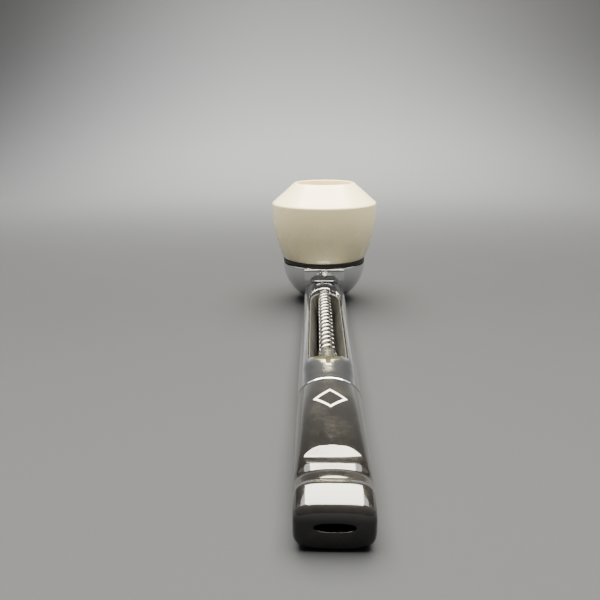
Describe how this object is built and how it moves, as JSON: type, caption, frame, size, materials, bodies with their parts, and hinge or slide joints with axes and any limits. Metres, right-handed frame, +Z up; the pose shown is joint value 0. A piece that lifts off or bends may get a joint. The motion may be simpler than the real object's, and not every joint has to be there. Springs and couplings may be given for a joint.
{
  "type": "tobacco pipe",
  "caption": "Metal-stem smoking pipe: cream bowl that unscrews from a chrome cup, flat stem with a window over a finned cooling tube, and a pull-out black mouthpiece.",
  "frame": {"origin": "centre of the flat foot under the cup, where the pipe rests on a table", "axes": "+Z up along the bowl's axis, -Y along the stem towards the mouthpiece"},
  "size_m": [0.035, 0.1494, 0.0402],
  "materials": {
    "cream_lacquer": "cream lacquer, glossy",
    "aluminium": "turned, satin",
    "black_rubber": "matt",
    "satin_chrome": "satin chrome",
    "absorbent_paper": "matt paper board",
    "black_plastic": "glossy"
  },
  "bodies": {
    "frame": {"cup": "satin_chrome", "moisture_ring": "absorbent_paper", "stem": "satin_chrome", "cooling_tube": "aluminium", "front_nut": "aluminium", "rear_collar": "aluminium"},
    "seal": {"bowl_seal": "black_rubber"},
    "bowl": {"bowl": "cream_lacquer", "bowl_base": "aluminium", "draught_eyelet": "aluminium"},
    "mouthpiece": {"mouthpiece": "black_plastic", "tenon": "aluminium", "tenon_seal": "black_rubber"}
  },
  "joints": [
    {"name": "seal_lift", "type": "slide", "parent": "frame", "child": "seal", "axis": [0, 0, 1], "range_m": [0, 0.004]},
    {"name": "bowl_turn", "type": "hinge", "parent": "seal", "child": "bowl", "pos_m": [0, 0, 0.0152], "axis": [0, 0, 1], "range_deg": [0, 160]},
    {"name": "mouthpiece_pull", "type": "slide", "parent": "frame", "child": "mouthpiece", "axis": [0, -1, 0], "range_m": [0, 0.006]}
  ],
  "couplings": [
    {"joint": "seal_lift", "follows": "bowl_turn", "m_per_rad": 0.0014324}
  ]
}
